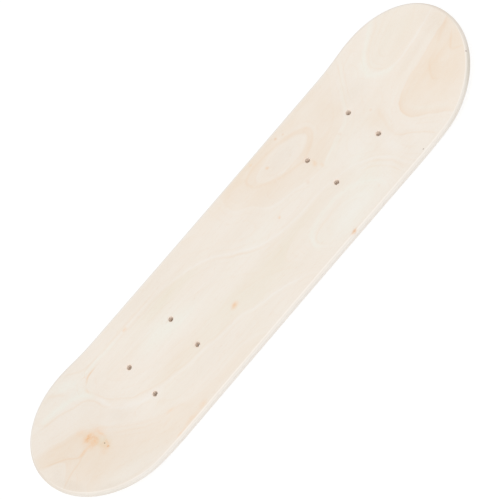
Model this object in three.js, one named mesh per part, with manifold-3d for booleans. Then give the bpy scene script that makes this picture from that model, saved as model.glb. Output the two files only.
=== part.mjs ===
// Bare skateboard deck, pressed from seven maple veneers.
// Units are millimetres. X runs along the board with the nose towards +X, Y runs across it and Z is up.
// The origin lies on the flat underside, below the middle of the board.

import * as THREE from 'three';
import { mergeVertices } from 'three/addons/utils/BufferGeometryUtils.js';
import Module from 'manifold-3d';

const wasm = await Module();
wasm.setup();

// Outline, as the pressed board is measured with a rule
const deckLength = 600;
const deckWidth = 147;
const sideWaist = 0.5;
const noseCapLength = 92;
const tailCapLength = 92;

// Veneers and the film of glue between them
const veneerThickness = 1.4;
const glueLine = 0.05;

// Radius routed along the top and bottom edges
const edgeRadius = 3;

// Truck bolts: the standard rectangle of four at each end
const wheelbase = 210;
const boltSpacingAlong = 63.5;
const boltSpacingAcross = 41.275;
const boltHoleDiameter = 5.5;

// Press mould: flat under the trucks, then a bend and a straight kick at each end
const seatBeyondBolts = 5;
const noseBendRadius = 195;
const tailBendRadius = 195;
const noseKickAngle = THREE.MathUtils.degToRad(17.5);
const tailKickAngle = THREE.MathUtils.degToRad(15.5);

// Concave: the rails curl up outside the flat middle and settle again along the kicks
const railLift = 1;
const flatHalfWidth = 28;
const railFadeLength = 90;

// Making of the meshes
const cutOverrun = 5;
const weldDistance = 1e-4;
const flatSteps = 4;
const bendSteps = 3;
const capSteps = 13;
const edgeSteps = 5;
const holeSides = 24;

// The stack from the underside up, with the look of each veneer
const veneers = [
  { name: 'bottom_face_veneer', colour: 0xe9d8bd, roughness: 0.62 },
  { name: 'lower_long_veneer', colour: 0xe2cdab, roughness: 0.7 },
  { name: 'lower_cross_veneer', colour: 0xc9a87c, roughness: 0.78 },
  { name: 'core_veneer', colour: 0xe0caa6, roughness: 0.7 },
  { name: 'upper_cross_veneer', colour: 0xc9a87c, roughness: 0.78 },
  { name: 'upper_long_veneer', colour: 0xe2cdab, roughness: 0.7 },
  { name: 'top_face_veneer', colour: 0xf0e5d3, roughness: 0.6 },
];

const halfWidth = deckWidth / 2;
const veneerPitch = veneerThickness + glueLine;
const stackThickness = veneers.length * veneerPitch - glueLine;
const kickStart = wheelbase / 2 + boltSpacingAlong + seatBeyondBolts;

const nose = {
  direction: 1,
  capLength: noseCapLength,
  bendRadius: noseBendRadius,
  kickAngle: noseKickAngle,
};
const tail = {
  direction: -1,
  capLength: tailCapLength,
  bendRadius: tailBendRadius,
  kickAngle: tailKickAngle,
};
for (const end of [nose, tail]) {
  end.bendLength = end.bendRadius * end.kickAngle;
  end.reach = unrolledReach(end);
  end.shoulder = end.reach - end.capLength;
}

// Distance from the middle to the tip along the unrolled underside, for a board of the given length.
// The tip's outermost point is on its rounded edge, one edge radius from that edge's centre.
function unrolledReach(end) {
  const centreRadius = end.bendRadius - edgeRadius;
  const centreX = deckLength / 2 - edgeRadius;
  const rampX = centreX - kickStart - centreRadius * Math.sin(end.kickAngle);
  const ramp = rampX / Math.cos(end.kickAngle) + edgeRadius;
  return kickStart + end.bendLength + ramp;
}

// How far the concave lifts the sheet at a place on it
function railHeight(along, across) {
  const outwardShare = Math.max(Math.abs(across) - flatHalfWidth, 0) / (halfWidth - flatHalfWidth);
  const fadeShare = THREE.MathUtils.clamp((along - kickStart) / railFadeLength, 0, 1);
  const keptShare = (1 + Math.cos(Math.PI * fadeShare)) / 2;
  return railLift * outwardShare ** 2 * keptShare;
}

// Where the press puts a point of the flat stack. Along and across are measured on the unrolled underside
// and height is square to it, so every veneer is bent round the same centre and nests in the next.
function pressedPoint(end, along, across, height) {
  const turn = THREE.MathUtils.clamp((along - kickStart) / end.bendRadius, 0, end.kickAngle);
  const ramp = Math.max(along - kickStart - end.bendLength, 0);
  const radius = end.bendRadius - height;
  const x = Math.min(along, kickStart) + radius * Math.sin(turn) + ramp * Math.cos(turn);
  const z = end.bendRadius - radius * Math.cos(turn) + ramp * Math.sin(turn);
  return new THREE.Vector3(end.direction * x, across, z + railHeight(along, across));
}

// Half width of the blank and its outward direction, at a distance from the middle.
// The sides draw in to a slight waist, and each end is half an ellipse.
function outlineAt(end, along) {
  if (along < end.shoulder) {
    const phase = (Math.PI * along) / (2 * end.shoulder);
    const sideSlope = (sideWaist * Math.PI * Math.sin(2 * phase)) / (2 * end.shoulder);
    const outward = new THREE.Vector2(-sideSlope, 1).normalize();
    return { end, along, halfWidth: halfWidth - sideWaist * Math.cos(phase) ** 2, outward };
  }
  const sine = Math.min((along - end.shoulder) / end.capLength, 1);
  const cosine = Math.sqrt(1 - sine * sine);
  const outward = new THREE.Vector2(sine / end.capLength, cosine / halfWidth).normalize();
  return { end, along, halfWidth: halfWidth * cosine, outward };
}

// Even steps from one value to another, both included
function evenSteps(from, to, count) {
  return Array.from({ length: count + 1 }, (_, step) => from + ((to - from) * step) / count);
}

// Rows across one end, from the middle of the board to the tip
function endRows(end) {
  const flat = evenSteps(0, kickStart, flatSteps);
  const bend = evenSteps(kickStart, end.shoulder, bendSteps).slice(1);
  const side = [...flat, ...bend].filter((along) => along < end.shoulder);
  const cap = evenSteps(0, Math.PI / 2, capSteps).map(
    (angle) => end.shoulder + end.capLength * Math.sin(angle),
  );
  return [...side, ...cap].map((along) => outlineAt(end, along));
}

// All rows from the tail's tip to the nose's tip. The row in the middle is there once.
const rows = [...endRows(tail).slice(1).reverse(), ...endRows(nose)];

// Points across a row, as shares of its half width: the flat middle, then two steps to each rail
const flatShare = flatHalfWidth / halfWidth;
const railMiddleShare = (1 + flatShare) / 2;
const acrossShares = [-1, -railMiddleShare, -flatShare, flatShare, railMiddleShare, 1];

// How far the rounded edge lies inside the outline at a height in the stack
function edgeInset(height) {
  const nearestFace = Math.min(height, stackThickness - height);
  const belowCentre = Math.max(edgeRadius - nearestFace, 0);
  return edgeRadius - Math.sqrt(edgeRadius ** 2 - belowCentre ** 2);
}

// Heights of the rings that draw the rounded edge, above the underside and below the top
const roundingHeights = evenSteps(0, Math.PI / 2, edgeSteps)
  .slice(1, -1)
  .map((angle) => edgeRadius * (1 - Math.cos(angle)));
const ringHeights = [...roundingHeights, ...roundingHeights.map((height) => stackThickness - height).reverse()];

// One level of a veneer: the points of every row, drawn in for the rounded edge
function levelGrid(height) {
  const inset = edgeInset(height);
  return rows.map((row) => {
    const along = row.along - row.outward.x * inset;
    const levelHalfWidth = row.halfWidth - row.outward.y * inset;
    return acrossShares.map((share) => pressedPoint(row.end, along, share * levelHalfWidth, height));
  });
}

function toManifold(geometry) {
  geometry.deleteAttribute('normal');
  geometry.deleteAttribute('uv');
  const merged = mergeVertices(geometry, weldDistance);
  const index = merged.index.array;
  const corners = [];
  for (let i = 0; i < index.length; i += 3) {
    const [a, b, c] = [index[i], index[i + 1], index[i + 2]];
    // Cells that close to a point at a tip leave triangles with two corners alike
    if (a !== b && b !== c && c !== a) {
      corners.push(a, b, c);
    }
  }
  return new wasm.Manifold(
    new wasm.Mesh({
      numProp: 3,
      vertProperties: merged.attributes.position.array,
      triVerts: new Uint32Array(corners),
    }),
  );
}

function toGeometry(manifold) {
  const mesh = manifold.getMesh();
  const geometry = new THREE.BufferGeometry();
  geometry.setAttribute('position', new THREE.BufferAttribute(mesh.vertProperties, mesh.numProp));
  geometry.setIndex(new THREE.BufferAttribute(mesh.triVerts, 1));
  geometry.computeVertexNormals();
  return geometry;
}

// One veneer before drilling: its two faces, and the band of edge round them
function pressedVeneer(lower, upper) {
  const rings = ringHeights.filter((height) => height > lower && height < upper);
  const levels = [lower, ...rings, upper].map(levelGrid);
  const underside = levels[0];
  const topside = levels[levels.length - 1];
  const rightRail = 0;
  const leftRail = acrossShares.length - 1;
  const positions = [];
  const quad = (a, b, c, d) => {
    for (const corner of [a, b, c, a, c, d]) {
      positions.push(corner.x, corner.y, corner.z);
    }
  };
  for (let row = 0; row + 1 < rows.length; row += 1) {
    for (let column = 0; column + 1 < acrossShares.length; column += 1) {
      const near = column + 1;
      quad(topside[row][column], topside[row + 1][column], topside[row + 1][near], topside[row][near]);
      quad(underside[row][column], underside[row][near], underside[row + 1][near], underside[row + 1][column]);
    }
    for (let level = 0; level + 1 < levels.length; level += 1) {
      const below = levels[level];
      const above = levels[level + 1];
      quad(below[row][leftRail], above[row][leftRail], above[row + 1][leftRail], below[row + 1][leftRail]);
      quad(below[row][rightRail], below[row + 1][rightRail], above[row + 1][rightRail], above[row][rightRail]);
    }
  }
  const geometry = new THREE.BufferGeometry();
  geometry.setAttribute('position', new THREE.BufferAttribute(new Float32Array(positions), 3));
  return toManifold(geometry);
}

// Drill for one bolt, square through the flat part of the whole stack
function boltDrill(x, y) {
  const radius = boltHoleDiameter / 2;
  const drill = new THREE.CylinderGeometry(radius, radius, stackThickness + 2 * cutOverrun, holeSides);
  drill.rotateX(Math.PI / 2);
  drill.translate(x, y, stackThickness / 2);
  return toManifold(drill);
}

const boltDrills = [];
for (const end of [nose, tail]) {
  for (const along of [wheelbase / 2, wheelbase / 2 + boltSpacingAlong]) {
    for (const across of [boltSpacingAcross / 2, -boltSpacingAcross / 2]) {
      boltDrills.push(boltDrill(end.direction * along, across));
    }
  }
}

const deck = new THREE.Group();
veneers.forEach((veneer, place) => {
  const lower = place * veneerPitch;
  let solid = pressedVeneer(lower, lower + veneerThickness);
  for (const drill of boltDrills) {
    solid = solid.subtract(drill);
  }
  const material = new THREE.MeshStandardMaterial({
    color: veneer.colour,
    roughness: veneer.roughness,
    metalness: 0,
  });
  const mesh = new THREE.Mesh(toGeometry(solid), material);
  mesh.name = veneer.name;
  deck.add(mesh);
});

export default deck;
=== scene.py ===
# Bare skateboard deck, pressed from seven maple veneers: their fine meshes, the wood and the studio.
# Units are metres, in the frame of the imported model: X along the board with the nose towards +X, Z up.
import math

import bmesh
import bpy
import numpy as np
from mathutils import Matrix, Vector


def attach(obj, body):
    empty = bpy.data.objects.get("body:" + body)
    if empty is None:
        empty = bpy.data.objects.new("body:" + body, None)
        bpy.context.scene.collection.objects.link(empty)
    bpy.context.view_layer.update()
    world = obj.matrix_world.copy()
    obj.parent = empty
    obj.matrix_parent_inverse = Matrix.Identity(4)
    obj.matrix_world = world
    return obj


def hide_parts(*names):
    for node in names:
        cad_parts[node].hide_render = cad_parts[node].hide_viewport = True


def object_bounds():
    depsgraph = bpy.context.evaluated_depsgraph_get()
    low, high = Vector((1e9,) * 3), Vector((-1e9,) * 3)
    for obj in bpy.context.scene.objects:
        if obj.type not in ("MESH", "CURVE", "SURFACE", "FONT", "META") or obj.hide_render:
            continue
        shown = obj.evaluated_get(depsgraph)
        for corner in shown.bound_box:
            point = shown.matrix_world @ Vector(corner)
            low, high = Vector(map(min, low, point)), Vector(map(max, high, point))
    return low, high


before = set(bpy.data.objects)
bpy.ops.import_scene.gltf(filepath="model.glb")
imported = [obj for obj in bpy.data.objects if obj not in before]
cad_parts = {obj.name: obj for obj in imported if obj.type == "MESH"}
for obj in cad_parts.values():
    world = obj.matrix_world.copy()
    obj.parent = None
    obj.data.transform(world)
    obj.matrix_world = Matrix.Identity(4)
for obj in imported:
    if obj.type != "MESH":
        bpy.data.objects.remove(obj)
cad_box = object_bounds()

MM = 0.001

# Outline and stack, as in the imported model
deck_length = 600 * MM
deck_width = 147 * MM
side_waist = 0.5 * MM
cap_length = 92 * MM
veneer_thickness = 1.4 * MM
glue_line = 0.05 * MM
edge_radius = 3 * MM

# Truck bolts
wheelbase = 210 * MM
bolt_spacing_along = 63.5 * MM
bolt_spacing_across = 41.275 * MM
bolt_hole_diameter = 5.5 * MM
seat_beyond_bolts = 5 * MM
hole_softening = 0.35 * MM

# Press mould
bend_radius = 195 * MM
nose_kick_angle = math.radians(17.5)
tail_kick_angle = math.radians(15.5)
rail_lift = 1 * MM
flat_half_width = 28 * MM
rail_fade_length = 90 * MM

# Fineness of the meshes
row_spacing = 3.5 * MM
cap_steps = 48
columns = 40
rim_share = 0.994
edge_steps = 10
hole_sides = 48
cut_overrun = 1 * MM
weld_distance = 1e-7
sharp_angle = math.radians(35)

# The stack from the underside up: the piece, the node that it replaces and its slot
VENEERS = [
    ("bottom_face", "bottom_face_veneer", "bottom_face_maple"),
    ("lower_long", "lower_long_veneer", "long_grain_maple"),
    ("lower_cross", "lower_cross_veneer", "cross_grain_maple"),
    ("core", "core_veneer", "long_grain_maple"),
    ("upper_cross", "upper_cross_veneer", "cross_grain_maple"),
    ("upper_long", "upper_long_veneer", "long_grain_maple"),
    ("top_face", "top_face_veneer", "top_face_maple"),
]

half_width = deck_width / 2
veneer_pitch = veneer_thickness + glue_line
stack_thickness = len(VENEERS) * veneer_pitch - glue_line
kick_start = wheelbase / 2 + bolt_spacing_along + seat_beyond_bolts


def edge_inset(height):
    """How far the routed edge lies inside the outline at a height in the stack."""
    below_centre = max(edge_radius - min(height, stack_thickness - height), 0)
    return edge_radius - math.sqrt(edge_radius**2 - below_centre**2)


def rail_height(along, across):
    """How far the concave lifts the sheet at a place on it."""
    outward_share = np.maximum(np.abs(across) - flat_half_width, 0) / (half_width - flat_half_width)
    fade_share = np.clip((along - kick_start) / rail_fade_length, 0, 1)
    return rail_lift * outward_share**2 * (1 + np.cos(np.pi * fade_share)) / 2


class End:
    """One end of the board, from its middle to the tip. Along is measured on the unrolled underside."""

    def __init__(self, direction, kick_angle):
        self.direction = direction
        self.kick_angle = kick_angle
        self.bend_length = bend_radius * kick_angle
        centre_run = (bend_radius - edge_radius) * math.sin(kick_angle)
        ramp = (deck_length / 2 - edge_radius - kick_start - centre_run) / math.cos(kick_angle)
        self.reach = kick_start + self.bend_length + ramp + edge_radius
        self.shoulder = self.reach - cap_length

    def rows(self):
        """Place, half width and outward direction of each row across the board."""
        side_count = round(self.shoulder / row_spacing)
        side = np.linspace(0, self.shoulder, side_count + 1)[:-1]
        phase = np.pi * side / (2 * self.shoulder)
        slope = side_waist * np.pi * np.sin(2 * phase) / (2 * self.shoulder)
        angle = np.linspace(0, np.pi / 2, cap_steps + 1)
        along = np.concatenate([side, self.shoulder + cap_length * np.sin(angle)])
        half = np.concatenate([half_width - side_waist * np.cos(phase) ** 2, half_width * np.cos(angle)])
        half[-1] = 0
        outward_x = np.concatenate([-slope, np.sin(angle) / cap_length])
        outward_y = np.concatenate([np.ones(side_count), np.cos(angle) / half_width])
        size = np.hypot(outward_x, outward_y)
        outward_y[-1] = 0
        return along, half, outward_x / size, outward_y / size

    def press(self, along, across, height):
        """Where the mould puts points of the flat stack."""
        turn = np.clip((along - kick_start) / bend_radius, 0, self.kick_angle)
        ramp = np.maximum(along - kick_start - self.bend_length, 0)
        radius = bend_radius - height
        x = np.minimum(along, kick_start) + radius * np.sin(turn) + ramp * np.cos(turn)
        z = bend_radius - radius * np.cos(turn) + ramp * np.sin(turn)
        x, y = np.broadcast_arrays(self.direction * x, across)
        return np.stack([x, y, z + rail_height(along, across)], axis=-1)

    def unroll(self, x, height):
        """Distance along the flat stack of points that the mould put at x, a distance from the middle."""
        radius = bend_radius - height
        bend_run = radius * math.sin(self.kick_angle)
        turn = np.arcsin(np.clip((x - kick_start) / radius, 0, math.sin(self.kick_angle)))
        ramp = np.maximum(x - kick_start - bend_run, 0) / math.cos(self.kick_angle)
        return np.minimum(x, kick_start) + bend_radius * turn + ramp

    def height(self, x, across, z, face_height):
        """Height in the flat stack of points near one of its faces."""
        level = z - rail_height(self.unroll(x, face_height), across)
        in_bend = bend_radius - np.hypot(x - kick_start, bend_radius - level)
        ramp_x = x - kick_start - bend_radius * math.sin(self.kick_angle)
        ramp_z = level - bend_radius * (1 - math.cos(self.kick_angle))
        on_ramp = ramp_z * math.cos(self.kick_angle) - ramp_x * math.sin(self.kick_angle)
        past_bend = (x - kick_start) > (bend_radius - face_height) * math.sin(self.kick_angle)
        return np.where(x < kick_start, level, np.where(past_bend, on_ramp, in_bend))


nose = End(1, nose_kick_angle)
tail = End(-1, tail_kick_angle)


def end_at(along):
    return nose if along >= 0 else tail


def unrolled(x, height):
    """Signed distance along the flat stack: the nose is positive and the tail negative."""
    return np.where(x >= 0, nose.unroll(np.abs(x), height), -tail.unroll(np.abs(x), height))


def linked(name, data):
    """A new object in the scene."""
    made = bpy.data.objects.new(name, data)
    bpy.context.scene.collection.objects.link(made)
    return made


# Meshes of the veneers

inner_shares = np.linspace(-1, 1, columns + 1)[1:-1]
across_shares = np.concatenate([[-1, -rim_share], inner_shares, [rim_share, 1]])
rounding = edge_radius * (1 - np.cos(np.linspace(0, np.pi / 2, edge_steps + 1)[1:-1]))
ring_heights = np.concatenate([rounding, stack_thickness - rounding[::-1]])


def level_points(height):
    """Points of every row at one height in the stack, from the tail's tip to the nose's."""
    inset = edge_inset(height)
    halves = []
    for end in (tail, nose):
        along, half, outward_x, outward_y = end.rows()
        level_along = (along - outward_x * inset)[:, None]
        across = (half - outward_y * inset)[:, None] * across_shares
        halves.append(end.press(level_along, across, height))
    return np.concatenate([halves[0][:0:-1], halves[1]])


def veneer_mesh(name, lower):
    """One veneer before drilling: its two faces and the band of edge round them."""
    upper = lower + veneer_thickness
    heights = [lower, *[height for height in ring_heights if lower < height < upper], upper]
    levels = np.stack([level_points(height) for height in heights])
    corners = np.clip(levels.reshape(-1, 3), cad_box[0], cad_box[1])
    index = np.arange(len(corners)).reshape(levels.shape[:3])
    faces = []
    sides = ((index[0], True), (index[-1], False), (index[:, :, 0].T, False), (index[:, :, -1].T, True))
    for grid, flip in sides:
        quads = np.stack([grid[:-1, :-1], grid[1:, :-1], grid[1:, 1:], grid[:-1, 1:]], axis=-1)
        faces.append(quads.reshape(-1, 4)[:, ::-1] if flip else quads.reshape(-1, 4))
    mesh = bpy.data.meshes.new(name)
    mesh.from_pydata(corners.tolist(), [], np.concatenate(faces).tolist())
    made = bmesh.new()
    made.from_mesh(mesh)
    unused = [vertex for vertex in made.verts if not vertex.link_faces]
    bmesh.ops.delete(made, geom=unused, context="VERTS")
    bmesh.ops.remove_doubles(made, verts=made.verts, dist=weld_distance)
    made.to_mesh(mesh)
    made.free()
    return mesh


def bolt_drills():
    """One object that cuts all eight bolt holes, with the rims softened at both faces."""
    radius = bolt_hole_diameter / 2
    flare = hole_softening + cut_overrun
    profile = [
        (radius + flare, -cut_overrun),
        (radius, hole_softening),
        (radius, stack_thickness - hole_softening),
        (radius + flare, stack_thickness + cut_overrun),
    ]
    drills = bmesh.new()
    for along in (wheelbase / 2, wheelbase / 2 + bolt_spacing_along):
        for x, y in ((1, 1), (1, -1), (-1, 1), (-1, -1)):
            centre = Vector((x * along, y * bolt_spacing_across / 2, 0))
            rings = []
            for ring_radius, z in profile:
                angles = [2 * math.pi * side / hole_sides for side in range(hole_sides)]
                places = [Vector((ring_radius * math.cos(a), ring_radius * math.sin(a), z)) for a in angles]
                rings.append([drills.verts.new(centre + place) for place in places])
            drills.faces.new(rings[0][::-1])
            drills.faces.new(rings[-1])
            for lower, upper in zip(rings, rings[1:]):
                for side in range(hole_sides):
                    after = (side + 1) % hole_sides
                    drills.faces.new([lower[side], lower[after], upper[after], upper[side]])
    mesh = bpy.data.meshes.new("bolt_drills")
    drills.to_mesh(mesh)
    drills.free()
    return linked("bolt_drills", mesh)


def drilled(name, lower, cutter):
    """A veneer as an object, with the bolt holes cut and its faces shaded smooth."""
    piece = linked(name, veneer_mesh(name, lower))
    cut = piece.modifiers.new("bolt_holes", "BOOLEAN")
    cut.operation = "DIFFERENCE"
    cut.solver = "EXACT"
    cut.object = cutter
    evaluated = piece.evaluated_get(bpy.context.evaluated_depsgraph_get())
    mesh = bpy.data.meshes.new_from_object(evaluated)
    piece.modifiers.clear()
    piece.data = mesh
    mesh.name = name
    mesh.shade_smooth()
    mesh.set_sharp_from_angle(angle=sharp_angle)
    return piece


# Figure of the face veneers. A log peeled on a lathe shows its yearly rings as wandering lines and closed
# loops. A smooth field over the veneer counts the rings: dark late wood lies just below each whole number,
# and pale early wood just above it. The field is a thin plate through places on a few ring lines, given in
# millimetres along and across the unrolled face.

TOP_RINGS = [
    # The long tongue from the tail to the right rail: its upper side, its tip, its root and its lower side
    (1, [(-186, 53), (-165, 53), (-145, 53), (-102, 52), (-65, 44), (-32, 31), (-8, 10), (6, -1), (23, -8)]),
    (1, [(46, -13), (73, -14), (101, -17), (123, -22), (144, -34), (155, -47), (160, -62)]),
    (1, [(-200, 52), (-210, 50), (-217, 44), (-219, 37), (-215, 28), (-212, 20), (-208, 10), (-198, 1)]),
    (1, [(-188, -8), (-168, -16), (-152, -22), (-124, -28), (-88, -33), (-65, -35), (-41, -42), (-17, -48)]),
    (1, [(9, -58), (27, -68)]),
    # The dark wood round the knot and along the right rail
    (1, [(-300, 20), (-285, 18), (-270, 14), (-258, 11), (-247, 8), (-239, 2), (-233, -6), (-224, -15)]),
    (1, [(-214, -23), (-204, -30), (-193, -37), (-181, -43), (-168, -47), (-153, -51), (-140, -56)]),
    (1, [(-125, -59), (-98, -59), (-78, -58), (-62, -63), (-50, -71)]),
    # The fork at the tail's tip
    (1, [(-301, 6), (-290, 1), (-281, -4), (-278, -7), (-283, -13), (-288, -19), (-294, -25), (-299, -30)]),
    # Loops in the nose half
    (0, [(46, -43), (64, -37), (94, -36), (115, -43), (125, -54), (118, -64), (55, -64), (47, -54)]),
    (1, [(55, 48), (62, 54), (76, 57), (95, 56.5), (110, 53.5),
        (123, 47.5), (126, 41), (119, 34), (107, 31)]),
    (1, [(93, 31), (76, 34), (63, 40)]),
    (1, [(27, 40), (40, 24), (59, 13), (82, 7), (98, 3),
        (110, 2), (122, 8), (136, 12), (150, 16), (161, 21)]),
    (1, [(168, 28), (174, 37), (183, 46), (199, 58), (204, 66)]),
    # Nose
    (1, [(263, 60), (255, 54), (243, 50), (231, 46), (223, 40), (219, 34), (219, 28), (223, 21), (233, 13)]),
    (1, [(241, 10), (255, 9), (268, 9), (285, 9), (303, 10)]),
    (1, [(301, -9), (285, -9), (268, -9), (240, -10), (222, -11),
        (212, -14), (204, -18), (200, -25), (200, -33)]),
    (1, [(203, -39), (209, -46), (217, -54), (225, -63), (230, -70)]),
]
TOP_LEVELS = [
    (0.62, [(-170, 25), (-120, 10), (-60, 10), (-30, -10), (0, -30)]),
    (0.75, [(-205, 38), (-200, 24)]),
    (-0.3, [(88, -54)]),
    (1.35, [(90, 45)]),
    (0.82, [(60, 22), (90, 17), (120, 20), (150, 36), (120, 66), (80, 68), (40, 62), (32, 50)]),
    (1.3, [(60, -2), (10, 25), (-20, 45), (170, 5), (190, 25), (150, -10), (170, -50), (200, 50), (205, 0)]),
    (1.3, [(190, -20), (192, -45), (205, -62), (206, 24)]),
    (0.7, [(245, 32), (255, 35), (280, 30)]),
    (1.25, [(240, 0), (262, 0), (285, 0)]),
    (0.7, [(222, -35), (250, -40), (280, -40), (240, -55)]),
    (1.25, [(-150, 65), (-100, 62), (-50, 62), (0, 62), (-230, 55), (-255, 50)]),
    (1.3, [(-280, 30), (-250, 25), (-226, 15), (-215, -5),
        (-190, -25), (-150, -38), (-110, -45), (-60, -50)]),
    (1.25, [(-25, -62)]),
    (0.72, [(-285, 10), (-262, 0), (-250, -35), (-285, -38), (-220, -48), (-180, -62), (-110, -68)]),
    (1.3, [(-298, -8), (-291, -12)]),
    (0.75, [(-270, -12)]),
]

# Single lines that no ring gives, in layers whose lines keep well apart. Each layer has a pigment, and each
# line a width, a strength and the places that it runs through.
TOP_STROKES = {
    "first_dark": ("late", [
        (1.2, 0.13, [(-281, 39), (-262, 38), (-249, 36), (-240, 33), (-229, 31),
            (-222, 27), (-218, 21), (-215, 11), (-205, 0), (-196, -8)]),
        (2.6, 0.09, [(196, 0), (189, -5), (185, -11), (182, -19), (178, -30), (177, -36)]),
        (0.9, 0.2, [(-300, 7), (-289, 2), (-275, -5), (-267, -12), (-259, -11), (-251, -8)]),
        (1.3, 0.13, [(262, -18), (253, -23), (247, -29), (245, -34), (251, -41)]),
        (2.2, 0.14, [(274, -18), (285, -14), (304, -9)]),
        (0.9, 0.1, [(126, -32), (138, -39), (146, -49), (150, -59), (151, -68)]),
        (0.8, 0.08, [(180, 26), (187, 37), (196, 48), (205, 58), (214, 68)]),
        (1.6, 0.12, [(66, 35), (54, 43), (49.5, 49.5), (48, 56), (52.5, 60), (63, 62), (80, 61.5),
            (94, 60), (107, 57.5), (119, 54), (127, 49.5), (132, 44.5), (131.5, 38.5), (126, 33),
            (118, 29), (109, 25.5), (100, 24), (91, 26), (81, 28.5), (71, 32), (57, 40.5)]),
    ]),
    "second_dark": ("late", [
        (1.2, 0.1, [(-226, 70), (-219, 65), (-213, 61), (-207, 58),
            (-198, 57), (-180, 56), (-140, 56), (-96, 55)]),
        (2.2, 0.12, [(-252, 64), (-246, 59), (-240, 54), (-234, 47)]),
        (0.9, 0.18, [(-256, -13), (-263, -14), (-270, -17), (-282, -20), (-299, -28)]),
        (1.2, 0.17, [(296, -19), (287, -25), (279, -30.5), (277.5, -32), (279, -34), (288, -42)]),
        (1, 0.16, [(176, -34), (181, -41), (187, -46), (193, -54), (198, -61), (203, -71)]),
        (1.8, 0.09, [(-240, 3), (-232, -4), (-225, -11), (-217, -18), (-209, -24.5),
            (-200, -31), (-190, -37), (-178, -43), (-166, -46.5), (-157, -50.5), (-153, -58)]),
        (0.9, 0.1, [(171, 23), (178, 34), (187, 45), (197, 57), (206, 68)]),
        (0.9, 0.46, [(-214, 42), (-208, 47), (-202, 49), (-192, 50)]),
        (3.2, 0.11, [(100, 57.5), (114, 53.5), (124, 47.5),
            (128.5, 42), (123, 34.5), (112, 29.5), (99, 29)]),
    ]),
    "white_stroke": ("pale", [
        (2.6, 0.5, [(-215, 26), (-213, 16), (-210, 6), (-204, -2),
            (-194, -9), (-183, -15), (-170, -20), (-156, -24)]),
    ]),
    "pale_stroke": ("bleach", [
        (3, 0.5, [(-276, 44), (-250, 43), (-234, 41), (-225, 37), (-218, 31), (-215, 24)]),
        (2, 0.35, [(-216, 53), (-205, 53), (-190, 54), (-172, 53), (-156, 52)]),
        (2.8, 0.42, [(264, 63), (252, 57), (241, 53), (230, 48), (222, 42),
            (216, 36), (213, 30), (215, 25), (220, 19), (229, 13), (240, 10)]),
        (1.6, 0.1, [(178, -31), (181, -26), (187, -20),
            (195, -14), (206, -9), (230, -7), (260, -6), (300, -6)]),
        (2.6, 0.38, [(44, -58), (44, -46), (52, -36), (70, -32),
            (92, -31), (110, -36), (124, -45), (132, -57), (130, -68)]),
        (1.8, 0.2, [(111, 0), (122, 6), (136, 9), (150, 13),
            (163, 18), (172, 28), (180, 38), (192, 50), (206, 63)]),
        (2.4, 0.16, [(208, -30), (215, -41), (225, -54), (236, -67)]),
    ]),
}

# The underside: plain nested arches, of the kind that a clear maple log gives
BOTTOM_RINGS = [
    (0, [(-290, 20), (-200, 26), (-90, 22), (-10, 8), (30, -8),
        (-10, -24), (-90, -38), (-200, -46), (-280, -50)]),
    (1, [(-250, 52), (-120, 50), (0, 40), (70, 20), (110, -6), (90, -30), (30, -50), (-60, -64)]),
    (2, [(-60, 68), (60, 62), (140, 42), (190, 8), (180, -30), (140, -58)]),
    (3, [(130, 68), (210, 52), (262, 20), (270, -12), (250, -48)]),
]
BOTTOM_LEVELS = [(-0.6, [(-150, -8), (-240, -14)]), (3.7, [(295, 0)])]
BOTTOM_STROKES = {
    "first_dark": ("late", [(1.2, 0.3, [(-280, 60), (-200, 62), (-100, 58), (-40, 60)])]),
    "second_dark": ("late", [(1, 0.25, [(150, -66), (200, -52), (236, -40)])]),
    "pale_stroke": ("bleach", [(2.4, 0.4, [(-270, -30), (-200, -30), (-120, -22), (-60, -10)])]),
}

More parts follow.
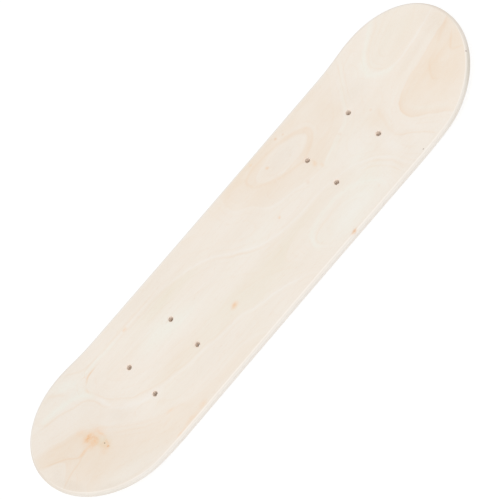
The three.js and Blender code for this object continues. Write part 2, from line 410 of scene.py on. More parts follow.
# Soft patches. The first three tables tint the wood, and the others say where the ring lines themselves show:
# as a thin dark line, as the broad dark band of a tight loop, or as a pale line. Each patch has its middle,
# along and across, and its two radii, all in millimetres, and its strength.
TOP_PATCHES = {
    "tan": [
        (60, 48, 27, 24, 0.52), (64, 24, 30, 16, 0.22), (34, 64, 24, 9, 0.3), (158, 44, 27, 26, 0.52),
        (116, 15, 32, 14, 0.6), (92, 68, 46, 9, 0.5), (262, -36, 40, 28, 0.85), (238, -17, 32, 10, 0.34),
        (214, -31, 15, 15, 0.16), (290, -24, 18, 20, 0.18), (-268, -30, 30, 22, 0.6),
        (-240, -30, 24, 20, 0.34), (-275, 8, 34, 13, 0.8), (-245, -4, 22, 18, 0.5),
        (-205, -46, 34, 18, 0.5), (-160, -62, 34, 14, 0.42), (-90, -66, 44, 12, 0.32),
        (-120, -50, 30, 10, 0.2), (-60, 64, 60, 9, 0.22), (-128, -15, 32, 9, 0.45), (20, 68, 60, 8, 0.25),
    ],
    "olive": [
        (-85, 42, 52, 9, 1), (-50, -24, 70, 14, 0.62), (-8, -38, 50, 14, 0.38), (50, -26, 50, 10, 0.5),
        (262, 34, 46, 26, 0.42), (240, 0, 60, 6, 0.3),
    ],
    "bleach": [
        (-128, 22, 22, 9, 0.9), (-100, 14, 22, 9, 0.9), (78, -56, 20, 12, 0.7), (110, -50, 22, 14, 0.7),
        (128, -40, 20, 16, 0.4), (50, -44, 9, 14, 0.4), (-226, 58, 24, 8, 0.3), (-250, 43, 30, 4.5, 0.3),
        (-222, 40, 8, 10, 0.5), (10, 5, 24, 9, 0.35), (140, 0, 50, 14, 0.25), (140, -20, 16, 8, 0.5),
        (216, 36, 10, 16, 0.45), (-250, -58, 40, 9, 0.25),
    ],
    "thin_line": [
        (-206, 18, 16, 26, 0.55), (-182, -9, 22, 12, 0.55), (-140, -20, 24, 8, 0.22),
        (-100, -28, 60, 12, 0.35), (-200, -32, 44, 16, 0.4), (-100, 50, 110, 8, 0.35),
        (-10, 8, 26, 20, 0.7), (150, -46, 14, 26, 0.6), (248, 50, 26, 12, 0.35), (226, 26, 10, 16, 0.42),
        (60, -44, 40, 14, 0.45),
    ],
    "broad_line": [
        (90, 44, 62, 26, 0.2), (140, 8, 40, 8, 0.15), (204, -26, 14, 18, 0.68), (214, -46, 14, 18, 0.2),
        (250, -11, 44, 7, 0.25), (292, -10, 16, 7, 0.4), (226, -60, 12, 12, 0.3), (-280, -8, 24, 18, 0.3),
    ],
    "pale_line": [
        (10, 0, 70, 24, 1), (-40, 32, 40, 20, 0.7), (90, -20, 50, 10, 0.6), (150, -40, 20, 30, 0.8),
        (272, 9, 48, 8, 1), (-110, -30, 90, 14, 0.6), (-20, -52, 50, 14, 1), (-80, 50, 90, 12, 0.34),
        (60, -44, 40, 14, 0.3),
    ],
}
BOTTOM_PATCHES = {
    "tan": [(-200, 30, 90, 24, 0.35), (120, -30, 100, 22, 0.35), (250, 20, 50, 40, 0.3)],
    "olive": [(20, 30, 120, 24, 0.4)],
    "bleach": [(-60, -30, 90, 20, 0.5), (210, -40, 60, 20, 0.3)],
    "thin_line": [(60, 0, 240, 70, 0.6)],
    "broad_line": [(-120, 0, 160, 40, 0.5), (180, 0, 80, 60, 0.4)],
    "pale_line": [(-60, 0, 240, 70, 0.5)],
}

# Small marks: the middle, along and across, and the two radii in millimetres, the tilt in degrees, the share
# of the radius that has full strength, the pigment and the strength. Later marks lie over earlier ones.
TOP_MARKS = [
    # The knot by the tail: its halo, its core, the arc round it and its two pins
    (-245, -8, 16, 14, -30, 0, "orange", 0.3),
    (-249, 7, 9, 6, -20, 0, "orange", 0.16),
    (-239, -18, 9, 12, 10, 0, "olive", 0.5),
    (-239, -21, 7, 9, 60, 0, "orange", 0.3),
    (-247, -3.5, 9, 5.5, 6, 0, "orange", 0.5),
    (-243.5, -10, 5, 7, 15, 0, "orange", 0.32),
    (-248, -12, 8, 5, -10, 0, "orange", 0.34),
    (-247.5, -3.6, 6, 2.8, 10, 0, "rust", 0.36),
    (-242.5, -8, 2.4, 6, 20, 0, "rust", 0.22),
    (-234, -4, 13, 6, -53, 0, "orange", 0.14),
    (-243.7, -25, 8, 6, 0, 0, "orange", 0.18),
    (-259, -12, 10, 3, 8, 0, "orange", 0.36),
    (-235.5, -8, 2.4, 11, 12, 0, "orange", 0.3),
    (-236.5, -20, 2, 7, -14, 0, "orange", 0.25),
    (-239, -20, 1, 1.1, 0, 0.2, "bark", 0.75),
    (-238.6, -24.3, 1.8, 1.3, 0, 0.1, "rust", 0.75),
    # Tones of the wood in the fork, the loops and the tongue, along the left rail and at both tips, and
    # painted shade along the rim at the tail's tip and the tail end of the right rail
    (-290, -10, 11, 9, 0, 0, "shade", 0.25),
    (91, 45, 36, 14, 0, 0.2, "shade", 0.2),
    (262, 0, 40, 8, 0, 0, "shade", 0.16),
    (190, 30, 24, 20, 0, 0, "shade", 0.16),
    (-100, 63, 100, 12, 0, 0, "shade", 0.2),
    (-208, -8, 18, 14, -30, 0, "shade", 0.2),
    (12, 61, 34, 13, 0, 0, "tan", 0.12),
    (-100, 51, 60, 9, 0, 0, "shade", 0.16),
    (-105, -41, 66, 14, 0, 0, "shade", 0.14),
    (167, -40, 13, 22, 0, 0, "pale", 0.42),
    (195, -44, 10, 16, 0, 0, "pale", 0.2),
    # These two are painted shade, along the rim at the tail's tip and at the tail end of the right rail
    (-290, -27.5, 28, 8, -62, 0, "shade", 0.38),
    (-260, -59.5, 28, 7, -29, 0, "shade", 0.32),
    (80, 33, 9, 3.4, -15, 0, "pale", 0.22),
    (130, 47, 4, 8, 0, 0, "orange", 0.06),
    (293, -3, 20, 30, 0, 0, "shade", 0.24),
    (293, -3, 20, 30, 0, 0, "tan", 0.07),
    (178, -9, 18, 13, 0, 0, "tan", 0.16),
    (125, 61, 20, 9, 0, 0, "tan", 0.16),
    # Palest wood, most of it in the loop by the right rail and beside it
    (96, -53, 40, 14, 0, 0, "pale", 0.26),
    (146, -12, 40, 20, 0, 0, "pale", 0.3),
    (190, -58, 20, 14, 0, 0, "pale", 0.18),
    (132, -30, 16, 10, 0, 0, "pale", 0.2),
    (137, -59, 14, 12, 0, 0, "pale", 0.36),
    (149, -49, 13, 13, 0, 0, "pale", 0.3),
    (55, 64, 11, 7, 0, 0, "pale", 0.22),
    (173, 43, 13, 10, 0, 0, "pale", 0.18),
    (270, -33, 21, 8, -12, 0, "pale", 0.3),
    # Bleached wedge above the tongue's root
    (-231, 58, 19, 8, -28, 0.2, "bleach", 0.32),
    # Flecks, and two small dark nicks at the right rail
    (-52, -23.8, 7.4, 5, 8, 0, "orange", 0.48),
    (-52.5, -23, 3.4, 1.8, 8, 0.2, "rust", 0.25),
    (77, -70.2, 6.2, 2.5, 0, 0.1, "rust", 0.62),
    (-143, -67.8, 9, 4, 4, 0, "orange", 0.28),
    (-160, -68.4, 16, 3.4, 0, 0, "orange", 0.23),
    (-177, -70, 11, 2, 0, 0, "orange", 0.25),
    (-169, -46, 9, 3, -20, 0, "orange", 0.18),
    (-145, 53, 4.5, 3, 0, 0, "orange", 0.42),
    (-217, 36, 3, 6, 0, 0, "orange", 0.16),
    (74, 50, 3.4, 2.8, 0, 0.1, "orange", 0.35),
    (66, 67, 3, 2, 0, 0.1, "orange", 0.25),
    (103, 65, 2.8, 2.2, 0, 0.1, "rust", 0.35),
    (111, 62, 2.2, 1.7, 0, 0.1, "rust", 0.25),
    (43, 2, 2.8, 2.2, 0, 0.1, "orange", 0.35),
    (88, 4, 3.4, 4.4, 0, 0, "rust", 0.15),
    (107, 12, 4, 6, -20, 0, "orange", 0.26),
    (110.5, 4.5, 3, 5, -25, 0, "orange", 0.16),
    (146, 12, 3.4, 3.4, 0, 0, "rust", 0.12),
    (184, 3, 2.2, 1.7, 0, 0.1, "rust", 0.2),
    (181, -69, 1, 0.9, 0, 0.3, "bark", 0.6),
    (283.4, -46.7, 1.2, 1.2, 0, 0.2, "bark", 0.55),
]
BOTTOM_MARKS = [
    (-118, 34, 5, 2.4, 10, 0.1, "orange", 0.4),
    (64, -44, 3, 2, 0, 0.1, "rust", 0.3),
    (232, 6, 6, 1.4, 15, 0, "orange", 0.3),
    (-262, -8, 2.4, 1.8, 0, 0.1, "rust", 0.25),
]

# The plate that carries the ring field: how much more a millimetre counts across the board than along it, how
# loosely the plate follows its places, the step that measures its slope, the widest ring in millimetres, and
# small values that keep a quotient and a logarithm finite
across_weight = 1.6
plate_softness = 40
probe_step = 0.5
widest_ring = 400
least_slope = 1e-6
least_square = 1e-9

# Millimetres: how far a line's sides are worked out, and how it runs out at its ends
line_reach = 7.5
line_full_reach = 5.5
line_run_on = 10
line_taper = 9
curve_steps = 12


class Figure:
    """The field that counts rings over one face, a thin plate through given levels."""

    def __init__(self, lines):
        self.places = np.array([place for _, places in lines for place in places], float)
        self.places[:, 1] *= across_weight
        levels = np.array([level for level, places in lines for _ in places])
        count = len(levels)
        affine = np.column_stack([np.ones(count), self.places])
        system = np.zeros((count + 3, count + 3))
        system[:count, :count] = self.plate(self.places) + plate_softness * np.eye(count)
        system[:count, count:] = affine
        system[count:, :count] = affine.T
        self.weights = np.linalg.solve(system, np.concatenate([levels, np.zeros(3)]))

    def plate(self, points):
        """Height at each point of the bent plate that each place raises."""
        squared = ((points[:, None] - self.places) ** 2).sum(axis=-1)
        return 0.5 * squared * np.log(squared + least_square)

    def at(self, along, across):
        """The count of rings at each place."""
        points = np.column_stack([along, across * across_weight])
        affine = np.column_stack([np.ones(len(points)), points])
        return np.concatenate([self.plate(points), affine], axis=1) @ self.weights

    def spacing(self, along, across):
        """Millimetres from one ring to the next, from the field's slope."""
        slope_along = self.at(along + probe_step, across) - self.at(along - probe_step, across)
        slope_across = self.at(along, across + probe_step) - self.at(along, across - probe_step)
        slope = np.hypot(slope_along, slope_across) / (2 * probe_step)
        return np.minimum(1 / np.maximum(slope, least_slope), widest_ring)


def curve_through(places):
    """Close points on a smooth curve through given ones, run straight on past both ends."""
    places = np.array(places, float)
    first = places[0] + line_run_on * (places[0] - places[1]) / np.linalg.norm(places[0] - places[1])
    last = places[-1] + line_run_on * (places[-1] - places[-2]) / np.linalg.norm(places[-1] - places[-2])
    knots = np.vstack([2 * first - places[0], first, places, last, 2 * last - places[-1]])
    share = np.linspace(0, 1, curve_steps, endpoint=False)[:, None]
    spans = []
    for before, start, stop, after in zip(knots, knots[1:], knots[2:], knots[3:]):
        slope = stop - before
        bend = 2 * before - 5 * start + 4 * stop - after
        twist = 3 * start - before - 3 * stop + after
        spans.append(start + 0.5 * (slope * share + bend * share**2 + twist * share**3))
    return np.concatenate([*spans, last[None]])


def lay_strokes(lines, along, across):
    """Signed distance from the nearest line, in its widths, and how strongly that line shows."""
    points = np.column_stack([along, across])
    nearest = np.full(len(points), np.inf)
    offset = np.zeros(len(points))
    amount = np.zeros(len(points))
    for width, strength, places in lines:
        curve = curve_through(places)
        steps = np.diff(curve, axis=0)
        lengths = np.linalg.norm(steps, axis=1)
        heading = steps / lengths[:, None]
        travelled = np.concatenate([[0], np.cumsum(lengths)])
        away = points[:, None] - curve[:-1]
        closest = (away**2).sum(axis=-1).argmin(axis=1)
        gap = away[np.arange(len(points)), closest]
        way = heading[closest]
        side = way[:, 0] * gap[:, 1] - way[:, 1] * gap[:, 0]
        run = travelled[closest] + (way * gap).sum(axis=-1) - line_run_on
        from_end = np.minimum(run, travelled[-1] - 2 * line_run_on - run)
        distance = np.linalg.norm(gap, axis=1)
        shown = strength * np.clip(from_end / line_taper, 0, 1)
        shown *= np.clip((line_reach - distance) / (line_reach - line_full_reach), 0, 1)
        nearer = distance < nearest
        nearest = np.where(nearer, distance, nearest)
        offset = np.where(nearer, side / width, offset)
        amount = np.where(nearer, shown, amount)
    return offset, amount


def patches(table, along, across):
    """Sum of soft round patches at each place, kept between 0 and 1."""
    total = np.zeros(len(along))
    for middle_along, middle_across, radius_along, radius_across, strength in table:
        away = ((along - middle_along) / radius_along) ** 2 + ((across - middle_across) / radius_across) ** 2
        total += strength * np.exp(-away)
    return np.clip(total, 0, 1)


def store(mesh, name, values):
    made = mesh.attributes.new(name, "FLOAT", "POINT")
    made.data.foreach_set("value", np.asarray(values, np.float32))


def lay_figure(mesh, height, rings, strokes, tables):
    """Writes the ring field, the single lines and the soft patches into a face veneer's vertices."""
    corners = np.empty(len(mesh.vertices) * 3)
    mesh.vertices.foreach_get("co", corners)
    corners = corners.reshape(-1, 3)
    along = unrolled(corners[:, 0], height) / MM
    across = corners[:, 1] / MM
    distance = np.abs(corners[:, 0])
    heights = [end.height(distance, corners[:, 1], corners[:, 2], height) for end in (tail, nose)]
    stack_heights = np.where(corners[:, 0] < 0, *heights)
    store(mesh, "edge_depth", np.abs(stack_heights - height))
    figure = Figure(rings)
    store(mesh, "ring", figure.at(along, across))
    store(mesh, "ring_spacing", figure.spacing(along, across) * MM)
    for name, (_, lines) in strokes.items():
        offset, amount = lay_strokes(lines, along, across)
        store(mesh, name + "_offset", offset)
        store(mesh, name + "_amount", amount)
    for name, table in tables.items():
        store(mesh, name, patches(table, along, across))


# Colours, as they look on a screen


def srgb(red, green, blue):
    """A screen colour from 0 to 255 as the linear colour that the shaders take."""
    shares = [value / 255 for value in (red, green, blue)]
    return [share / 12.92 if share <= 0.04045 else ((share + 0.055) / 1.055) ** 2.4 for share in shares] + [1]


# The ground of each face, its streaks and the pigments of its figure
CREAM = srgb(243, 235, 225)
UNDERSIDE = srgb(238, 226, 208)
STREAK = srgb(236, 226, 213)
PIGMENTS = {
    "tan": srgb(236, 208, 175),
    "olive": srgb(230, 221, 196),
    "bleach": srgb(241, 242, 233),
    "orange": srgb(243, 192, 138),
    "rust": srgb(229, 172, 116),
    "bark": srgb(120, 92, 66),
    "pale": srgb(245, 241, 235),
    "late": srgb(234, 190, 140),
    "shade": srgb(228, 214, 198),
}

# Edges: long fibres and cut ends of the inner veneers, then the face veneers' cut ends, which also paint
# shade on the rim at the tips, a painted highlight along their corners, painted shade on the rounded band
# below it, the walls of the bolt holes, painted paler than the wood as painted light, and painted shade on
# the edge by the right rail's ends
LONG_EDGE = srgb(243, 239, 233)
END_EDGE = srgb(232, 225, 216)
# Darker cut end grain of the face veneers, also painted shade on the rim at the tips
FACE_END_AND_SHADE = srgb(232, 221, 208)
# Painted highlight along the corner of a face veneer
ARRIS_HIGHLIGHT = srgb(248, 243, 236)
# Painted shade on the rounded band below the corner
ROUTED_BAND_SHADE = srgb(236, 230, 222)
# Painted light on the hole walls, paler than the wood
HOLE_WALL_LIGHT = srgb(255, 242, 230)
# Painted shade on the edge by the right rail's ends
PAINTED_EDGE_SHADE = srgb(218, 211, 198)

# Painted shade on the edge at the curves by the right rail's ends, strongest at the nose: the middle and the
# strength
PAINTED_EDGE_SHADES = [
    ((272 * MM, -54 * MM, 12 * MM), 0.92),
    ((232 * MM, -70 * MM, 11 * MM), 0.22),
    ((-262 * MM, -57 * MM, 10 * MM), 0.25),
]
edge_shade_radius = 36 * MM
edge_shade_core = 10 * MM

# Depths below the face at which the tones of a face veneer's edge begin, are full, fade and end
highlight_full = 0.06 * MM
highlight_fades = 0.2 * MM
highlight_ends = 0.45 * MM
band_shade_begins = 0.3 * MM
band_shade_full = 0.55 * MM
cut_end_shade_full = 0.12 * MM
edge_shade_begins = 0.7 * MM
edge_shade_full = 1.35 * MM

# Cross-sections of the ring lines, measured square to a whole ring, with its late wood on the minus side
pale_middle = 0.6 * MM
pale_width = 1.6 * MM
thin_middle = -2.6 * MM
thin_width = 1.2 * MM
broad_begins = 1.4 * MM
broad_full = -1 * MM
broad_fade = 4.2 * MM
late_side_width = 1.6 * MM
late_side_width_share = 0.05
fine_rings_in_one = 9
fine_ring_sharpness = 5

# Grains of the noises in a metre: along and across the fibres, and for the others along X, Y and Z
FIBRE_GRAINS = (26, 1500)
STREAK_GRAINS = (5, 130)
PORE_GRAINS = (170, 2600)
WANDER_GRAINS = (45, 90, 90)
CLOUD_GRAINS = (9, 26, 26)
PATCH_GRAINS = (30, 110, 110)
SHAKE_GRAINS = (160, 320, 320)
MOTTLE_GRAINS = (420, 900, 900)

# How far the noises move ring lines, marks and single lines, the last in their own widths
ring_wander = 5 * MM
mark_shake = 3 * MM
stroke_wander = 1.6

# Surface: the height of the fibres' relief, the least and greatest roughness and the gloss
face_relief = 0.04 * MM
edge_relief = 0.06 * MM
face_roughness = (0.56, 0.68)
edge_roughness = (0.66, 0.8)
gloss = 0.3

# Sockets of a mix node that a colour mix uses: the factor, the two colours and the result
mix_factor, mix_first, mix_second, mix_result = 0, 6, 7, 2


class Nodes:
    """Builds the nodes of a material or a world. Each call gives the new node's first output."""

    def __init__(self, owner):
        owner.use_nodes = True
        self.owner = owner
        self.tree = owner.node_tree
        self.tree.nodes.clear()

    def add(self, kind, inputs=(), **settings):
        node = self.tree.nodes.new(kind)
        for name, value in settings.items():
            setattr(node, name, value)
        for key, value in dict(inputs).items():
            if isinstance(value, bpy.types.NodeSocket):
                self.tree.links.new(value, node.inputs[key])
            else:
                node.inputs[key].default_value = value
        return node.outputs[0] if node.outputs else None

    def maths(self, operation, first, second=0):
        return self.add("ShaderNodeMath", {0: first, 1: second}, operation=operation)

    def mix(self, amount, colour, other):
        inputs = {mix_factor: amount, mix_first: colour, mix_second: other}
        return self.add("ShaderNodeMix", inputs, data_type="RGBA").node.outputs[mix_result]

    def seen_directly(self):
        """1 for rays from the camera and for what gloss or glass shows, 0 for light on the object."""
        path = self.add("ShaderNodeLightPath").node
        seen = path.outputs["Is Camera Ray"]
        for name in ("Is Glossy Ray", "Is Transmission Ray"):
            seen = self.maths("MAXIMUM", seen, path.outputs[name])
        return seen


class Wood(Nodes):
    """Builds the nodes of a wood."""

    def __init__(self, name):
        super().__init__(bpy.data.materials.new(name))
        self.place = self.add("ShaderNodeTexCoord").node.outputs["Object"]
        self.normal = self.place.node.outputs["Normal"]

    def times(self, value, *factors):
        for factor in factors:
            value = self.maths("MULTIPLY", value, factor)
        return value

    def bell(self, value):
        """1 where the value is 0, easing off on both sides."""
        return self.maths("EXPONENT", self.times(value, value, -1))

    def vector(self, operation, first, second=(0, 0, 0)):
        return self.add("ShaderNodeVectorMath", {0: first, 1: second}, operation=operation)

    def length(self, vector):
        return self.vector("LENGTH", vector).node.outputs["Value"]

    def attribute(self, name):
        return self.add("ShaderNodeAttribute", attribute_name=name).node.outputs["Fac"]

    def spread(self, value, from_low, from_high, to_low=0, to_high=1):
        """Eases a value from one range into another."""
        ends = {"From Min": from_low, "From Max": from_high, "To Min": to_low, "To Max": to_high}
        return self.add("ShaderNodeMapRange", {"Value": value, **ends}, interpolation_type="SMOOTHSTEP")

    def noise(self, grains, detail=2, roughness=0.5):
        """Soft noise whose grains have the given counts in a metre along X, Y and Z."""
        stretched = self.vector("MULTIPLY", self.place, grains)
        inputs = {"Vector": stretched, "Scale": 1, "Detail": detail, "Roughness": roughness}
        return self.add("ShaderNodeTexNoise", inputs)

    def finish(self, colour, roughness, height, depth):
        """Joins the parts into a matt, sanded surface."""
        bump = self.add("ShaderNodeBump", {"Height": height, "Strength": 1, "Distance": depth})
        inputs = {"Base Color": colour, "Roughness": roughness, "Normal": bump, "Specular IOR Level": gloss}
        shader = self.add("ShaderNodeBsdfPrincipled", inputs)
        self.add("ShaderNodeOutputMaterial", {"Surface": shader})
        return self.owner


def fibres(wood, grain):
    """Long fine fibres, broad soft streaks and short open pores. Grain is 0 where they run along X and 1
    where they run along Y."""

    def stretched(along, across):
        return (across, along, across) if grain else (along, across, across)

    fine = wood.noise(stretched(*FIBRE_GRAINS), detail=4, roughness=0.6)
    streaks = wood.noise(stretched(*STREAK_GRAINS), detail=3, roughness=0.55)
    pores = wood.spread(wood.noise(stretched(*PORE_GRAINS), detail=1), 0.66, 0.76)
    return fine, streaks, pores


def bolt_distance(wood):
    """Distance from the middle of the nearest bolt hole, all eight folded onto one."""
    folded = wood.vector("ABSOLUTE", wood.place)
    seat_middle = wheelbase / 2 + bolt_spacing_along / 2
    seat = wood.vector("ABSOLUTE", wood.vector("SUBTRACT", folded, (seat_middle, 0, 0)))
    around = wood.vector("SUBTRACT", seat, (bolt_spacing_along / 2, bolt_spacing_across / 2, 0))
    return wood.length(wood.vector("MULTIPLY", around, (1, 1, 0)))


def hole_tones(wood, colour, fine):
    """Tints the drilled walls a colour paler than the wood, painted light in the shaded holes, and a little
    of the face round their rims.
    """
    distance = bolt_distance(wood)
    radius = bolt_hole_diameter / 2
    inside = wood.spread(distance, radius + 1.5 * hole_softening, radius + 0.5 * hole_softening)
    patchy = wood.times(inside, wood.spread(fine, 0.3, 0.7, 0.85, 1))
    rim = wood.spread(distance, radius + 4 * hole_softening, radius + hole_softening, 0, 0.12)
    # Pale walls: painted light that brightens the shaded holes
    return wood.mix(patchy, wood.mix(rim, colour, PIGMENTS["rust"]), HOLE_WALL_LIGHT)


def ring_lines(wood, wobble):
    """The pale line on each whole ring, the thin dark line below it, the broad dark band of a tight loop,
    fine lines that follow them all, and where the wood is on a ring's late side."""
    spacing = wood.attribute("ring_spacing")
    wandered = wood.maths("ADD", wood.attribute("ring"), wood.maths("DIVIDE", wobble, spacing))
    nearest = wood.maths("SUBTRACT", wood.maths("FRACT", wood.maths("ADD", wandered, 0.5)), 0.5)
    signed = wood.times(nearest, spacing)

    def line(middle, width):
        return wood.bell(wood.maths("DIVIDE", wood.maths("SUBTRACT", signed, middle), width))

    pale = line(pale_middle, pale_width)
    thin = line(thin_middle, thin_width)
    fading = wood.maths("EXPONENT", wood.maths("MINIMUM", wood.maths("DIVIDE", signed, broad_fade), 0))
    broad = wood.times(fading, wood.spread(signed, broad_begins, broad_full))
    fine = wood.maths("FRACT", wood.times(wandered, fine_rings_in_one))
    fine = wood.maths("POWER", fine, fine_ring_sharpness)
    softness = wood.maths("ADD", wood.times(spacing, late_side_width_share), late_side_width)
    late_side = wood.spread(wood.maths("DIVIDE", signed, softness), 0.8, -1.4)
    inside = wood.times(late_side, wood.spread(nearest, -0.5, -0.4))
    return pale, thin, broad, fine, inside


def single_lines(wood, colour, strokes, wobble):
    """The lines that no ring gives, each with a soft cross-section."""
    for name, (pigment, _) in strokes.items():
        section = wood.bell(wood.maths("ADD", wood.attribute(name + "_offset"), wobble))
        colour = wood.mix(wood.times(wood.attribute(name + "_amount"), section), colour, PIGMENTS[pigment])
    return colour


def marks(wood, colour, table, height):
    """Knots and flecks: soft distorted spots of pigment."""
    shake = wood.vector("SUBTRACT", wood.noise(SHAKE_GRAINS, detail=3).node.outputs["Color"], (0.5, 0.5, 0.5))
    place = wood.vector("ADD", wood.place, wood.vector("MULTIPLY", shake, (mark_shake, mark_shake, 0)))
    mottle = wood.spread(wood.noise(MOTTLE_GRAINS, detail=2), 0.3, 0.7, 0.6, 1.25)
    for along, across, radius_along, radius_across, tilt, core, pigment, strength in table:
        middle = end_at(along).press(np.array(abs(along) * MM), np.array(across * MM), height)
        inputs = {
            "Vector": place,
            "Location": (float(middle[0]), float(middle[1]), 0),
            "Rotation": (0, 0, math.radians(tilt)),
            "Scale": (radius_along * MM, radius_across * MM, deck_length),
        }
        away = wood.length(wood.add("ShaderNodeMapping", inputs, vector_type="TEXTURE"))
        amount = wood.times(wood.spread(away, 1, core, 0, strength), mottle)
        colour = wood.mix(amount, colour, PIGMENTS[pigment])
    return colour


def end_grain_share(wood, grain):
    """1 where the edge cuts across the fibres, 0 where it runs along them, from the edge's heading alone."""
    heading = wood.vector("NORMALIZE", wood.vector("MULTIPLY", wood.normal, (1, 1, 0)))
    facing = wood.maths("ABSOLUTE", wood.add("ShaderNodeSeparateXYZ", {0: heading}).node.outputs[grain])
    return wood.spread(facing, 0.3, 0.9)


def edge_shade_share(wood):
    """How much painted shade darkens the edge at the curves by the right rail's ends."""
    total = 0
    for place, strength in PAINTED_EDGE_SHADES:
        away = wood.length(wood.vector("SUBTRACT", wood.place, place))
        total = wood.maths("ADD", total, wood.spread(away, edge_shade_radius, edge_shade_core, 0, strength))
    return total


def edge_tones(wood, colour):
    """Tones of a face veneer's edge, by the depth below its face: a painted highlight along the corner,
    painted shade on the rounded band and by the right rail's ends, and darker cut ends that also paint shade
    at the tips.
    """
    depth = wood.attribute("edge_depth")
    end_grain = end_grain_share(wood, grain=0)
    # Painted highlight: a paler line along the corner, where light catches the edge
    arris_highlight = wood.times(
        wood.spread(depth, 0, highlight_full),
        wood.spread(depth, highlight_ends, highlight_fades, 0, 0.65),
        wood.maths("SUBTRACT", 1, end_grain),
    )
    colour = wood.mix(arris_highlight, colour, ARRIS_HIGHLIGHT)
    # Painted shade on the rounded band below the corner
    colour = wood.mix(wood.spread(depth, band_shade_begins, band_shade_full, 0, 0.85), colour, ROUTED_BAND_SHADE)
    # Darker cut end grain at the tips, which also paints shade on the rim that the lamp lights there
    cut_ends_and_shade = wood.times(wood.spread(depth, 0, cut_end_shade_full, 0, 0.8), end_grain)
    colour = wood.mix(cut_ends_and_shade, colour, FACE_END_AND_SHADE)
    # Painted shade on the edge at the curves by the right rail's ends
    shaded_edge = wood.times(wood.spread(depth, edge_shade_begins, edge_shade_full), edge_shade_share(wood))
    return wood.mix(shaded_edge, colour, PAINTED_EDGE_SHADE)


def face_maple(name, ground, strokes, table, height):
    """Sanded rotary-cut face veneer with its figure."""
    wood = Wood(name)
    fine, streaks, pores = fibres(wood, grain=0)
    wander = wood.noise(WANDER_GRAINS, detail=3)
    wobble = wood.maths("SUBTRACT", wander, 0.5)
    cloud = wood.noise(CLOUD_GRAINS, detail=3)
    colour = wood.mix(wood.spread(streaks, 0.35, 0.75, 0, 0.2), ground, STREAK)
    colour = wood.mix(wood.spread(cloud, 0.4, 0.8, 0, 0.1), colour, PIGMENTS["tan"])
    colour = wood.mix(wood.spread(cloud, 0.5, 0.2, 0, 0.12), colour, PIGMENTS["olive"])
    patchy = wood.spread(wood.noise(PATCH_GRAINS, detail=3), 0.2, 0.8, 0.7, 1.15)
    pale, thin, broad, fine_rings, inside = ring_lines(wood, wood.times(wobble, ring_wander))
    bounded = wood.times(patchy, wood.spread(inside, 0, 1, 0.3, 1))
    tones = (
        ("tan", bounded, 0.42, "tan"),
        ("olive", bounded, 0.35, "olive"),
        ("bleach", patchy, 0.6, "bleach"),
        ("broad_line", broad, 0.46, "late"),
        ("thin_line", thin, 0.22, "late"),
        ("pale_line", pale, 0.48, "pale"),
    )
    for patches_name, profile, share, pigment in tones:
        amount = wood.times(wood.attribute(patches_name), profile, share)
        colour = wood.mix(amount, colour, PIGMENTS[pigment])
    colour = single_lines(wood, colour, strokes, wood.times(wobble, stroke_wander))
    fine_amount = wood.times(fine_rings, wood.spread(wander, 0.35, 0.7, 0.015, 0.085))
    colour = wood.mix(fine_amount, colour, PIGMENTS["late"])
    colour = wood.mix(wood.spread(fine, 0.35, 0.75, 0, 0.1), colour, PIGMENTS["tan"])
    colour = wood.mix(wood.times(pores, 0.18), colour, PIGMENTS["rust"])
    colour = edge_tones(wood, colour)
    colour = marks(wood, colour, table, height)
    colour = hole_tones(wood, colour, fine)
    roughness = wood.spread(fine, 0.3, 0.7, *face_roughness)
    relief = wood.maths("SUBTRACT", wood.times(fine, 0.6), wood.times(pores, 0.8))
    return wood.finish(colour, roughness, relief, face_relief)


def edge_maple(name, grain):
    """Inner veneer, seen only at the routed edge and in the bolt holes: long fibres or end grain."""
    wood = Wood(name)
    fine, streaks, pores = fibres(wood, grain)
    end_grain = wood.times(end_grain_share(wood, grain), 0.5 if grain else 1)
    colour = wood.mix(end_grain, LONG_EDGE, END_EDGE)
    colour = wood.mix(wood.spread(streaks, 0.35, 0.75, 0, 0.35), colour, STREAK)
    colour = wood.mix(wood.spread(fine, 0.35, 0.75, 0, 0.16), colour, PIGMENTS["tan"])
    colour = wood.mix(wood.times(pores, 0.3), colour, PIGMENTS["rust"])
    # Painted shade on the edge at the curves by the right rail's ends
    colour = wood.mix(edge_shade_share(wood), colour, PAINTED_EDGE_SHADE)
    colour = hole_tones(wood, colour, fine)
    roughness = wood.spread(fine, 0.3, 0.7, *edge_roughness)
    relief = wood.maths("SUBTRACT", fine, pores)
    return wood.finish(colour, roughness, relief, edge_relief)


# The pieces

finishes = {
    "top_face_maple": face_maple("top_face_maple", CREAM, TOP_STROKES, TOP_MARKS, stack_thickness),
    "bottom_face_maple": face_maple("bottom_face_maple", UNDERSIDE, BOTTOM_STROKES, BOTTOM_MARKS, 0),
    "long_grain_maple": edge_maple("long_grain_maple", grain=0),
    "cross_grain_maple": edge_maple("cross_grain_maple", grain=1),
}
cutter = bolt_drills()
pieces = {}
for place, (name, node, slot) in enumerate(VENEERS):
    piece = drilled(name, place * veneer_pitch, cutter)
    piece.data.materials.append(finishes[slot])
    pieces[name] = piece
    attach(piece, "root")
    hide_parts(node)
bpy.data.objects.remove(cutter)

lay_figure(pieces["top_face"].data, stack_thickness, TOP_RINGS + TOP_LEVELS, TOP_STROKES, TOP_PATCHES)
lay_figure(pieces["bottom_face"].data, 0, BOTTOM_RINGS + BOTTOM_LEVELS, BOTTOM_STROKES, BOTTOM_PATCHES)


# Studio

floor_half_size = 6
floor_gap = 0.1 * MM
floor_lit = (0.92, 0.92, 0.92, 1)
floor_seen = (0.3, 0.3, 0.3, 1)
floor_glow = 0.76
sky_strength = 0.78
key_distance = 6
key_size = 4
key_energy = 101.5
key_azimuth = math.radians(-32)
key_elevation = math.radians(56)

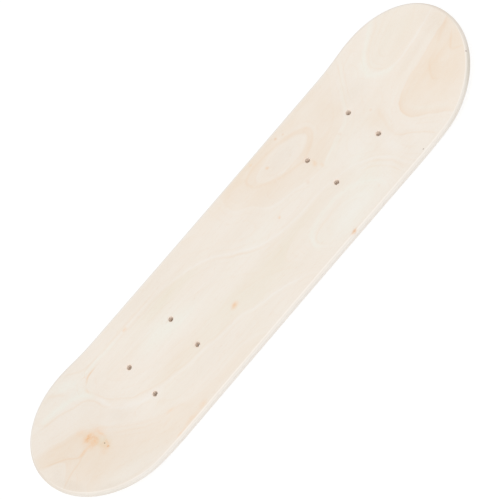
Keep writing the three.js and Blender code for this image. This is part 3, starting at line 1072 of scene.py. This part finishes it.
# Camera, fitted to the outline and the bolt holes
camera_azimuth = math.radians(-2.452)
camera_elevation = math.radians(61.180)
camera_roll = math.radians(-47.168)
camera_distance = 994.18 * MM
camera_target = Vector((-0.74 * MM, 8.87 * MM, 0))
camera_lens = 71.18


def towards(azimuth, elevation):
    """Direction from the object to something that stands round it. Azimuth 0 is on the -Y side."""
    level = math.cos(elevation)
    return Vector((math.sin(azimuth) * level, -math.cos(azimuth) * level, math.sin(elevation)))


def make_camera():
    camera = linked("camera", bpy.data.cameras.new("camera"))
    camera.data.lens = camera_lens
    place = camera_target + camera_distance * towards(camera_azimuth, camera_elevation)
    aim = Matrix.Rotation(camera_azimuth, 4, "Z") @ Matrix.Rotation(math.pi / 2 - camera_elevation, 4, "X")
    camera.matrix_world = Matrix.Translation(place) @ aim @ Matrix.Rotation(camera_roll, 4, "Z")
    bpy.context.scene.camera = camera


def make_sky():
    """Even white light from all round, plain white where it is seen."""
    sky = Nodes(bpy.data.worlds.new("studio"))
    inputs = {"Value": sky.seen_directly(), "To Min": sky_strength, "To Max": 1}
    strength = sky.add("ShaderNodeMapRange", inputs)
    light = sky.add("ShaderNodeBackground", {"Color": (1, 1, 1, 1), "Strength": strength})
    sky.add("ShaderNodeOutputWorld", {"Surface": light})
    bpy.context.scene.world = sky.owner


def make_floor():
    """Wide pale floor, white where the camera sees it but for the object's shadow."""
    made = bmesh.new()
    bmesh.ops.create_grid(made, x_segments=1, y_segments=1, size=floor_half_size)
    mesh = bpy.data.meshes.new("floor")
    made.to_mesh(mesh)
    made.free()
    paper = Nodes(bpy.data.materials.new("floor_paper"))
    seen = paper.seen_directly()
    diffuse = paper.add("ShaderNodeBsdfDiffuse", {"Color": paper.mix(seen, floor_lit, floor_seen)})
    glow = paper.add("ShaderNodeEmission", {"Strength": paper.maths("MULTIPLY", seen, floor_glow)})
    both = paper.add("ShaderNodeAddShader", {0: diffuse, 1: glow})
    paper.add("ShaderNodeOutputMaterial", {"Surface": both})
    mesh.materials.append(paper.owner)
    floor = linked("floor", mesh)
    floor.location.z = -floor_gap


def make_key():
    """One large soft lamp beyond the right rail, a little towards the tail."""
    lamp = bpy.data.lights.new("key", "AREA")
    lamp.shape = "DISK"
    lamp.size = key_size
    lamp.energy = key_energy
    key = linked("key", lamp)
    side = towards(key_azimuth, key_elevation)
    key.location = side * key_distance
    key.rotation_mode = "QUATERNION"
    key.rotation_quaternion = (-side).to_track_quat("-Z", "Y")


make_camera()
make_sky()
make_floor()
make_key()
bpy.context.scene.view_settings.view_transform = "Standard"
